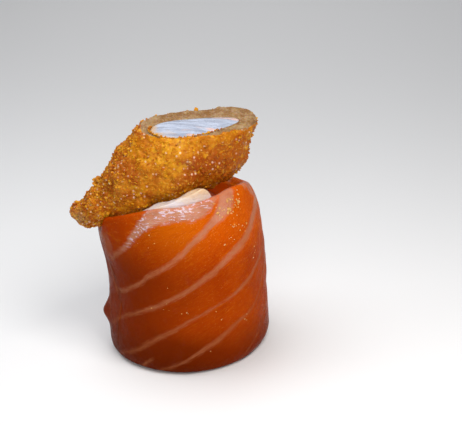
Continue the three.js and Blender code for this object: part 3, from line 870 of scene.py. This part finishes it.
def cut_surface(edge, hole, rings, fillet):
    """The ring that the knife left, from the crust's edge to the room for the meat: bready, with
    small pits. It starts with the second half of the edge's quarter circle. Gives points, tones,
    pit heights and how bready each point is."""
    share = np.linspace(0, 1, rings + 2)[1:-1, None] ** 1.4
    level_edge = edge + ((CUT_POINT - edge) @ CUT_NORMAL)[:, None] * CUT_NORMAL
    flat = level_edge + (hole - level_edge) * share[..., None]
    inward = share * np.linalg.norm(hole - level_edge, axis=-1) + ROUND_MIDDLE * fillet
    round_off = fillet * (1 - np.sqrt(1 - np.clip(1 - inward / fillet, 0, 1) ** 2))
    pits, tone = stones(flat, 0.9, 51)
    grain, _ = stones(flat, 0.5, 53)
    raised = 0.28 * pits + 0.16 * grain + 0.30 * drift(flat, 2.2, 52) - 0.25
    raised = raised * smooth(0, 0.5, share * (1 - share) * 4) + 0.1 * (1 - share) * pits
    at_back = smooth(-4, 1, level_edge[:, 1])
    bready = smooth(0.1 - 2 * at_back, 2.4 - 2.4 * at_back, inward + 1.1 * drift(flat, 1.1, 54))
    return flat + (raised - round_off)[..., None] * CUT_NORMAL, tone, pits, bready


CRUST_SIDES = 300
CUT_RINGS = 26
crust_turn = np.arange(CRUST_SIDES) * 2 * np.pi / CRUST_SIDES
bore_end = cut_along(bore_point, crust_turn, MEAT_START, MEAT_REACH, 0.0)
bore_share = np.sin(np.linspace(1, 0.04, CUT_RINGS) * np.pi / 2)[:, None]
bore_along = MEAT_START + bore_share * (bore_end - MEAT_START)
bore = bore_point(bore_along, crust_turn + 0 * bore_share)
bore_shape = bore.shape[:2]
sharp_edge = crust_point(cut_along(crust_point, crust_turn, 0.0, CRUST_REACH, 0.0), crust_turn)
ring_width = np.linalg.norm(sharp_edge - bore[0], axis=-1)
edge_fillet = np.clip(0.35 * ring_width, 0.25, 1.5) * (1 + 0.4 * drift(sharp_edge, 2.5, 55))
outer_crust, outer_tone, outer_height, outer_bready = crust_surface(
    crust_turn, rings=205, fillet=edge_fillet
)
cut_face, cut_tone, cut_height, cut_bready = cut_surface(
    outer_crust[-1], bore[0], CUT_RINGS, edge_fillet
)
crust_grid = np.concatenate([outer_crust, cut_face, bore])
crust_poles = [outer_crust[0].mean(axis=0), bore[-1].mean(axis=0)]
crust_points, crust_faces = closed_rings(crust_grid, crust_poles)

TOAST_AND_PAINTED_LIGHT_STRENGTH = 1.2
TOAST_AND_PAINTED_LIGHT_PATCHES = [  # place, reach and shade: below 0 golden, above 0 red-brown
    (8.1, -9, 49.7, 4.5, 0.9), (12.5, -7, 50.5, 4, 0.8), (5.1, -10, 47.7, 3.5, 0.7),
    (-3.4, -12, 44.6, 4, 0.4), (-7.5, -11, 54.5, 1.1, 1.2), (-4.2, -12, 43.4, 0.6, 1.6),
    (-25, -6, 38, 3.5, 0.9), (-5, -9, 56.7, 2.4, -0.9), (11.5, -9, 56.5, 3, -0.8),
    # The last patch on the next row, round (0, -12, 44), is painted light: golden colour that lifts
    # the shade under the crust's front.
    (16.3, -6, 57, 2.5, -0.5), (0.8, -10, 55, 3, -0.45), (0, -12, 44, 4.5, -0.5),
]
SMEARED_CREAM = [  # place, reach and strength of cream on the crust's lower edge
    (-4.9, -13, 42.4, 2, 0.8), (-0.6, -13.5, 43.7, 1.8, 0.8), (2.9, -13.5, 44.6, 1.8, 0.8),
    (4.7, -13, 45.9, 1.6, 0.8),
]
PALE_PATCHES = [  # place, reach and strength of greyish tan crumbs
    (15.7, -6, 53.8, 1.5, 0.9), (-15.3, -10, 45.8, 5, 0.4), (-25, -6, 37.5, 3, 0.9),
    (-1, -8, 52.5, 2.5, 0.35), (1, -10.5, 57, 1.8, 0.8), (2.5, -11.5, 51.5, 1.8, 0.6),
]


def patch_map(points, patches):
    """The sum of the patches' bells, each round its own place."""
    total = np.zeros(points.shape[:-1])
    for x, y, z, reach, shade in patches:
        total += shade * np.exp(-np.sum((points - (x, y, z)) ** 2, axis=-1) / reach**2)
    return total


def with_poles(*parts):
    """One number for each point of the crust, ring by ring, and the two poles' own."""
    whole = np.concatenate(parts)
    return np.concatenate([whole.ravel(), [whole[0].mean(), whole[-1].mean()]])


crust_drift = 0.45 * drift(crust_grid, 6.5, 71) + 0.5 * drift(crust_grid, 2.6, 73)
pale_drift = 0.15 * drift(crust_grid, 4.0, 72)
fried_crust = make_piece(
    "fried_crust",
    crust_points,
    crust_faces,
    {
        "tone": with_poles(outer_tone, cut_tone, np.full(bore_shape, 0.5)),
        "crumb_height": with_poles(outer_height, cut_height, np.full(bore_shape, 0.2)),
        "toast_and_painted_light": with_poles(TOAST_AND_PAINTED_LIGHT_STRENGTH * patch_map(crust_grid, TOAST_AND_PAINTED_LIGHT_PATCHES) + crust_drift),
        "pale": with_poles(patch_map(crust_grid, PALE_PATCHES) + pale_drift),
        "smear": with_poles(patch_map(crust_grid, SMEARED_CREAM)),
        "bread": with_poles(outer_bready, cut_bready, np.ones(bore_shape)),
    },
)


def crust_material():
    """Golden brown crumbs, each with its own tone, with painted shade that darkens the crevices and
    leaves the tops paler, with orange and yellow patches, one of them painted light under the front,
    small whitish specks that are painted glints, and oily glints from a lower roughness. The cut
    shows matte tan bread."""
    material, tree, place = new_material("fried_breadcrumbs")
    cloudy = noise(tree, place, 330.0, 3.0)
    fleck = noise(tree, place, 1500.0, 3.0, 0.7)
    grit = noise(tree, place, 4200.0, 2.0, 0.6)
    tone = attribute(tree, "tone")
    # Toast colour, with one patch of painted light under the crust's front.
    toast_and_painted_light = plus(tree, attribute(tree, "toast_and_painted_light"), cloudy)
    pale = attribute(tree, "pale")
    colour = layered(tree, (0.52, 0.18, 0.0023), [
        (toast_and_painted_light, 0.15, 0.75, 1.0, (0.38, 0.092, 0.0014)),
        (toast_and_painted_light, 0.75, 1.5, 1.0, (0.31, 0.058, 0.001)),
        (tone, 0.52, 0.75, 0.55, (0.76, 0.37, 0.010)),
        (tone, 0.45, 0.22, 0.4, (0.36, 0.08, 0.001)),
        # Painted shade: crumbs are painted darker where they sit low, in the crevices.
        (attribute(tree, "crumb_height"), 0.30, 0.05, 0.25, (0.34, 0.08, 0.001)),
        (fleck, 0.55, 0.66, 0.45, (0.76, 0.42, 0.05)),
        (fleck, 0.44, 0.32, 0.4, (0.28, 0.055, 0.001)),
    ])
    grains = add(tree, "TexVoronoi", {"Vector": place, "Scale": 1200.0}).outputs
    lucky = add(tree, "SeparateColor", {0: grains["Color"]}).outputs[0]
    lucky = plus(tree, lucky, step(tree, cloudy, 0.35, 0.65, -0.12, 0.1))
    lucky = plus(tree, lucky, pale, 0.22)
    # Painted highlight: small whitish specks stand in for glints on the crumbs.
    specks = times(tree, step(tree, lucky, 0.80, 0.92), step(tree, grains["Distance"], 0.42, 0.22))
    colour = blend(tree, times(tree, specks, 0.55), colour, (0.88, 0.66, 0.50))
    colour = layered(tree, colour, [
        (pale, 0.25, 1.0, 0.55, (0.46, 0.29, 0.11)),
        (attribute(tree, "smear"), 0.25, 0.75, 0.8, (0.74, 0.46, 0.22)),
    ])
    bread = layered(tree, (0.22, 0.11, 0.04), [
        (cloudy, 0.35, 0.65, 1.0, (0.33, 0.21, 0.105)),
        (fleck, 0.47, 0.36, 0.6, (0.17, 0.07, 0.015)),
        (fleck, 0.56, 0.66, 0.5, (0.48, 0.33, 0.19)),
    ])
    inside = step(tree, plus(tree, attribute(tree, "bread"), fleck, 0.5), 0.6, 0.9)
    rough = plus(tree, step(tree, fleck, 0.35, 0.65, 0.62, 0.30), inside, 0.25)
    normal = bumped(tree, plus(tree, fleck, grit, 0.6), 0.45, 0.0003)
    finish_surface(tree, {
        "Base Color": blend(tree, inside, colour, bread), "Roughness": rough, "Normal": normal,
        "Specular IOR Level": 0.15, "Subsurface Weight": 0.3, "Subsurface Scale": 0.0008,
        "Subsurface Radius": (1.0, 0.4, 0.05),
    })
    return material


breadcrumbs = crust_material()
fried_crust.data.materials.append(breadcrumbs)
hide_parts("shrimp_crust")
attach(fried_crust, "root")

# Seating the shrimp
# The shrimp is pushed down onto the roll, so the slice's rim and the filling give way under it
# and take the form of its underside.

SEAT_GAP = 0.12
SEAT_DEPTH = 4.5  # how far down the wall the squeeze reaches
SEAT_LOWEST = 25.0  # nothing below this height is pressed
PRESS_REACH = 22.0  # how far below a point the crust's underside is looked for


def inside_crust(points):
    """True where a point lies inside the crust grown by the seat's gap: where the powers of its
    two distances from the section's middle, as shares of the section's sizes, add up to under 1."""
    offset = points - TIP
    along, above, aside = offset @ ALONG, offset @ ABOVE, offset @ ASIDE
    scale = crust_scale(np.clip(along, 0, SHRIMP_LENGTH))
    up, down, beside, shift = (curve(CRUST_SECTIONS, along, k) for k in (1, 2, 3, 4))
    grow = crag(points) + SEAT_GAP
    high = (above - scale * (up - down) / 2) / (scale * (up + down) / 2 + grow)
    wide = (aside - shift) / (scale * beside + grow)
    filled = np.abs(high) ** SQUARENESS + np.abs(wide) ** SQUARENESS < 1
    return filled & (along > -SEAT_GAP) & (along < SHRIMP_LENGTH)


def press_down(points):
    """Moves each point that lies inside the crust straight down to its underside, by halving."""
    flat = points.reshape(-1, 3).copy()
    hit = np.flatnonzero((flat[:, 2] > SEAT_LOWEST) & inside_crust(flat))
    high, low = flat[hit, 2], flat[hit, 2] - PRESS_REACH
    for _ in range(16):
        middle = (low + high) / 2
        trial = np.column_stack([flat[hit, :2], middle])
        caught = inside_crust(trial)
        high, low = np.where(caught, middle, high), np.where(caught, low, middle)
    flat[hit, 2] = low
    return flat.reshape(points.shape)


def squeeze_columns(points):
    """Shares each column's squeeze out over the wall below it, then presses what is left."""
    drop = (points[..., 2] - press_down(points)[..., 2]).max(axis=1, keepdims=True)
    top = points[..., 2].max(axis=1, keepdims=True)
    eased = points.copy()
    eased[..., 2] -= drop * smooth(-SEAT_DEPTH, 0, points[..., 2] - top)
    return press_down(eased)


def move_points(piece, points):
    """Puts new places, in millimetres, into a piece's mesh."""
    piece.data.vertices.foreach_set("co", (points.reshape(-1, 3) * 0.001).astype(np.float32).ravel())
    piece.data.update()


move_points(salmon_slice, squeeze_columns(slice_points))
move_points(cream_filling, press_down(filling_points))

# The shrimp meat
# Cooked white meat shows at the cut. It runs down inside the crust, and its fibres run along the
# cut's length, with thin orange stains and a tan blur towards its left end and lower edge.


def meat_surface(sides, body_rings, top_rings):
    """The body's rings up to the knife's plane, then the cut's own rings in to its middle, which
    is lifted by a smooth step and by noise drawn out along its length into fine ridges."""
    angle = np.arange(sides) * 2 * np.pi / sides
    end = cut_along(meat_point, angle, MEAT_START, MEAT_REACH, 0.0)
    share = np.sin(np.linspace(0.04, 1, body_rings) * np.pi / 2)[:, None]
    body = meat_point(MEAT_START + share * (end - MEAT_START), angle + 0 * share)
    inward = np.linspace(0, 1, top_rings + 1)[1:, None, None] * 0.985
    top = body[-1] + (body[-1].mean(axis=0) - body[-1]) * inward
    ridges = 0.14 * drift(top * (0.22, 1.1, 0.2), 1.0, 61)
    ridges += 0.05 * drift(top * (0.4, 2.2, 0.4), 1.0, 62)
    swell = 0.28 * smooth(0, 0.35, inward[..., 0])
    top = top + (swell + ridges * smooth(0, 0.2, inward[..., 0]))[..., None] * CUT_NORMAL
    return np.concatenate([body, top])


meat_grid = meat_surface(sides=200, body_rings=26, top_rings=40)
meat_x, meat_y = meat_grid[..., 0], meat_grid[..., 1]
meat_blur = smooth(-2.5, -6.5, meat_x) + 0.5 * smooth(3, 0.5, np.abs(meat_x + 2) + meat_y + 6)
shrimp_meat = make_piece(
    "shrimp_meat_cut",
    *closed_rings(meat_grid, [meat_grid[0].mean(axis=0), meat_grid[-1].mean(axis=0)]),
    {"blur": np.concatenate([meat_blur.ravel(), [1, 0]])},
)
RED_DOT = (-0.0009, 0.002, 0.0590)  # a spot of red on the cut's far edge, in metres


def meat_material():
    """Bluish white with fine streaks along the cut, thin orange stains, a tan blur towards the
    cut's left end and lower edge, and one red dot."""
    material, tree, place = new_material("cooked_shrimp")
    streaks = noise(tree, stretched(tree, place, 0.16, 1.0, 0.3), 900.0, 3.0, 0.6, 0.3)
    stain = noise(tree, stretched(tree, place, 0.25, 1.0, 0.3), 420.0, 2.0)
    blur = plus(tree, attribute(tree, "blur"), stain, 0.9)
    dot = add(tree, "VectorMath", {0: place, 1: RED_DOT}, operation="DISTANCE").outputs["Value"]
    colour = layered(tree, (0.27, 0.30, 0.39), [
        (streaks, 0.35, 0.65, 1.0, (0.41, 0.46, 0.58)),
        (stain, 0.60, 0.72, 0.6, (0.80, 0.42, 0.28)),
        (blur, 0.75, 1.35, 1.0, (0.46, 0.29, 0.15)),
        (dot, 0.0011, 0.0004, 1.0, (0.70, 0.09, 0.005)),
    ])
    rough, film = add_film(tree, place, scale=700.0, wet=0.25, dry=0.5)
    normal = bumped(tree, plus(tree, streaks, film, 0.4), 0.3, 0.0003)
    finish_surface(tree, {
        "Base Color": colour, "Roughness": rough, "Normal": normal,
        "Subsurface Weight": 0.35, "Subsurface Radius": (1.0, 0.9, 0.9), "Subsurface Scale": 0.0012,
        "Coat Weight": 0.15, "Coat Roughness": 0.25,
    })
    return material


shrimp_meat.data.materials.append(meat_material())
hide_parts("shrimp_meat")
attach(shrimp_meat, "root")

# Loose crumbs
# Single flakes of breadcrumb stick out of the crust, and a few have fallen onto the wet salmon
# near its rim.

rng = np.random.default_rng(17)
FLAKE_FLATNESS = 0.6


def stone_template(rings, sides):
    """Points of a small ball from pole to pole, and its faces."""
    up = np.pi * np.arange(1, rings + 1)[:, None] / (rings + 1)
    turn = 2 * np.pi * np.arange(sides) / sides + 0 * up
    ball = np.stack([np.sin(up) * np.cos(turn), np.sin(up) * np.sin(turn), -np.cos(up) + 0 * turn], -1)
    points, (quads, fans) = closed_rings(ball, [(0, 0, -1), (0, 0, 1)])
    return points, quads[:, ::-1], fans[:, ::-1]


def scatter_stones(places, normals, sizes):
    """One angular flake at each place: a small ball whose points are pushed in and out at
    random, flattened along a random lean from the surface's normal."""
    ball, quads, fans = stone_template(rings=3, sides=6)
    count = len(places)
    bent = ball * rng.uniform(0.65, 1.2, (count, len(ball), 1))
    lean = normals + rng.normal(0, 0.5, (count, 3))
    lean /= np.linalg.norm(lean, axis=-1, keepdims=True)
    side = np.cross(lean, rng.normal(0, 1, (count, 3)))
    side /= np.linalg.norm(side, axis=-1, keepdims=True)
    third = np.cross(lean, side)
    stretch = rng.uniform(0.7, 1.5, (count, 1))
    shape = (
        bent[..., :1] * side[:, None] * stretch[..., None]
        + bent[..., 1:2] * third[:, None]
        + bent[..., 2:] * lean[:, None] * FLAKE_FLATNESS
    )
    points = places[:, None] + shape * sizes[:, None, None]
    shift = np.arange(count)[:, None, None] * len(ball)
    faces = [(quads + shift).reshape(-1, 4), (fans + shift).reshape(-1, 3)]
    tones = np.repeat(rng.uniform(0, 1, (count, 1)), len(ball), axis=1)
    return points, faces, tones


CRUMBS = 3400  # all over the crust
EDGE_CRUMBS = 110  # along the meat's front edge
BIG_CRUMBS = np.array([  # near this place, this far out, and size
    (-20.8, -0.6, 44.3, 0.6, 1.1), (-20.8, -0.6, 44.3, 1.7, 0.8), (-19.9, -1.2, 45.6, 0.5, 1.0),
    (-19.1, -2.5, 47.1, 0.3, 0.6), (-21.8, -0.7, 43.1, 0.2, 0.6), (-15.1, 1.3, 51.7, 0.3, 0.6),
    (-11.7, 1.6, 55.4, 0.3, 0.5), (4.5, 9.1, 59, 0.5, 0.8), (2.5, 9.1, 58.8, 0.2, 0.6),
    (-25.3, -2.9, 40.5, 0.3, 0.7), (16.7, 3.3, 48.9, 0.3, 0.6), (18.2, 3.8, 53, 0.3, 0.6),
])
crust_normals = grid_normals(outer_crust)
ring_pick = rng.integers(8, len(outer_crust), CRUMBS)
side_pick = rng.integers(0, CRUST_SIDES, CRUMBS)
crumb_sizes = np.exp(rng.normal(-1.65, 0.42, CRUMBS)).clip(0.08, 0.65)
crumb_normals = crust_normals[ring_pick, side_pick]
crumb_places = outer_crust[ring_pick, side_pick] + crumb_normals * crumb_sizes[:, None] * 0.3
below_cut = (crumb_places - CUT_POINT) @ CUT_NORMAL < 0.1
crust_flat = outer_crust.reshape(-1, 3)
nearest_point = [np.argmin(np.sum((crust_flat - row[:3]) ** 2, axis=-1)) for row in BIG_CRUMBS]
big_normals = crust_normals.reshape(-1, 3)[nearest_point]
big_places = crust_flat[nearest_point] + BIG_CRUMBS[:, 3:4] * big_normals
meat_edge = bore[0]
front_edge = np.flatnonzero(meat_edge[:, 1] < meat_edge[:, 1].mean() - 1)
edge_pick = rng.choice(front_edge, EDGE_CRUMBS)
edge_sizes = np.exp(rng.normal(-1.6, 0.35, EDGE_CRUMBS)).clip(0.1, 0.4)
edge_places = meat_edge[edge_pick] + rng.normal(0, 0.12, (EDGE_CRUMBS, 3)) + 0.15 * CUT_NORMAL
edge_places += 0.25 * (meat_edge[edge_pick] - meat_edge.mean(axis=0)) / 8
crumb_points, crumb_faces, crumb_tones = scatter_stones(
    np.concatenate([crumb_places[below_cut], big_places, edge_places]),
    np.concatenate([crumb_normals[below_cut], big_normals, np.tile(CUT_NORMAL, (EDGE_CRUMBS, 1))]),
    np.concatenate([crumb_sizes[below_cut], BIG_CRUMBS[:, 4], edge_sizes]),
)
crumb_toast_and_painted_light = TOAST_AND_PAINTED_LIGHT_STRENGTH * patch_map(crumb_points, TOAST_AND_PAINTED_LIGHT_PATCHES)
loose_crumbs = make_piece(
    "loose_crumbs",
    crumb_points,
    crumb_faces,
    {
        "tone": crumb_tones,
        "crumb_height": np.full(crumb_tones.shape, 0.5),
        "toast_and_painted_light": crumb_toast_and_painted_light + 0.5 * drift(crumb_points, 2.6, 73),
        "pale": patch_map(crumb_points, PALE_PATCHES),
    },
    smooth_shaded=False,
)
loose_crumbs.data.materials.append(breadcrumbs)
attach(loose_crumbs, "root")

FALLEN_CRUMBS = [  # angle and height on the slice, spread in millimetres, number, size
    (300, 41.3, 1.0, 8, 0.20), (309, 42, 1.2, 12, 0.22), (316, 42, 1.0, 14, 0.22),
    (321, 43.3, 0.8, 8, 0.20), (311, 40.7, 0.6, 12, 0.26), (312, 37.5, 1.2, 8, 0.17),
    (309, 35.5, 1.2, 8, 0.16), (321, 35.6, 0.8, 5, 0.16), (330, 28.8, 0.9, 4, 0.16),
    (327, 26.7, 0.4, 1, 0.17), (302.5, 32.8, 0.3, 1, 0.17), (318, 11.5, 0.8, 4, 0.13),
    (284, 6.7, 0.3, 1, 0.17), (243, 35, 1.6, 7, 0.12), (296, 22, 0.2, 1, 0.15),
    (255, 17, 1.8, 7, 0.11), (293, 14.6, 0.6, 3, 0.12), (270, 16.8, 0.8, 3, 0.12),
]
fallen = np.concatenate([
    np.column_stack([
        rng.normal(angle, spread / ARC, count),
        rng.normal(height, spread, count),
        size * np.exp(rng.normal(0, 0.35, count)),
    ])
    for angle, height, spread, count, size in FALLEN_CRUMBS
])
fallen[:, 1] = np.minimum(fallen[:, 1], rim_height(fallen[:, 0]) - 1.2)
fallen_radius, fallen_height, _, _ = under_face(fallen[:, 0], fallen[:, 1], 0.0, 0.0)
fallen_places = polar(fallen[:, 0], fallen_radius, fallen_height)
fallen_normals = polar(fallen[:, 0], np.ones(len(fallen)), np.zeros(len(fallen)))
fallen_sizes = fallen[:, 2].clip(0.08, 0.42)
fallen_points, fallen_faces, fallen_tones = scatter_stones(
    fallen_places, fallen_normals, fallen_sizes
)
fallen_crumbs = make_piece(
    "fallen_crumbs",
    fallen_points,
    fallen_faces,
    {
        "tone": 0.6 + 0.4 * fallen_tones,
        "crumb_height": np.full(fallen_tones.shape, 0.5),
        "smear": 0.4 + 0.3 * fallen_tones,
    },
    smooth_shaded=False,
)
fallen_crumbs.data.materials.append(breadcrumbs)
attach(fallen_crumbs, "root")

# The floor, the light and the camera
# A plain pale floor, soft studio light from above, from behind and from the front, and the
# camera where it looks down on the roll at the photo's angle. Places here are in metres.

FLOOR_HALF = 3.0
corners = [(-1, -1, 0), (1, -1, 0), (1, 1, 0), (-1, 1, 0)]
floor_mesh = bpy.data.meshes.new("floor")
floor_mesh.from_pydata((FLOOR_HALF * np.array(corners)).tolist(), [], [(0, 1, 2, 3)])
floor = bpy.data.objects.new("floor", floor_mesh)
bpy.context.scene.collection.objects.link(floor)
floor_material, floor_tree, _ = new_material("pale_floor")
finish_surface(floor_tree, {"Base Color": (0.86, 0.86, 0.87, 1), "Roughness": 0.7})
floor_mesh.materials.append(floor_material)

bpy.context.scene.view_settings.view_transform = "Standard"
world = bpy.data.worlds.new("soft_white")
world.use_nodes = True
background = world.node_tree.nodes["Background"].inputs
background["Color"].default_value = (0.95, 0.97, 1, 1)
background["Strength"].default_value = 0.15
bpy.context.scene.world = world


def set_axes(thing, place, right, upwards, back):
    """Puts an object at a place, with its three axes along these directions, into the scene."""
    rows = np.column_stack([right, upwards, back, place]).tolist()
    thing.matrix_world = Matrix([*rows, [0, 0, 0, 1]])
    bpy.context.scene.collection.objects.link(thing)


LIGHTS = [  # name, place, point that it shines at, size, power and colour
    ("key_light", (0.07, -0.11, 0.20), (0, 0, 0.03), 0.10, 0.325, (1, 0.97, 0.93)),
    ("fill_light", (0.00, -0.27, 0.12), (0, 0, 0.042), 0.14, 0.26, (1, 0.98, 0.95)),
    ("backdrop_light", (0, 0.45, 0.35), (0, 0.4501, 0), 0.40, 0.7, (1, 1, 1)),
    ("back_light", (-0.09, 0.03, 0.28), (0, 0, 0.04), 0.20, 0.45, (0.96, 0.98, 1)),
]
for name, place, aim, size, power, colour in LIGHTS:
    lamp = bpy.data.lights.new(name, "AREA")
    lamp.size = size
    lamp.energy = power
    lamp.color = colour
    back = np.array(place, float) - aim
    back /= np.linalg.norm(back)
    right = np.cross((0, 0, 1), back)
    right /= np.linalg.norm(right)
    set_axes(bpy.data.objects.new(name, lamp), place, right, np.cross(back, right), back)

TILT = np.radians(21.8)
ROLL = np.radians(3)
CAMERA_PLACE = (0.012025, -0.294515, 0.152260)
camera_data = bpy.data.cameras.new("camera")
camera_data.lens = 99.283
camera_data.sensor_width = 36
camera_data.sensor_fit = "HORIZONTAL"
camera = bpy.data.objects.new("camera", camera_data)
level_right = np.array([1.0, 0, 0])
level_up = np.array([0, np.sin(TILT), np.cos(TILT)])
back = np.array([0, -np.cos(TILT), np.sin(TILT)])
right = level_right * np.cos(ROLL) - level_up * np.sin(ROLL)
upwards = level_up * np.cos(ROLL) + level_right * np.sin(ROLL)
set_axes(camera, CAMERA_PLACE, right, upwards, back)
bpy.context.scene.camera = camera
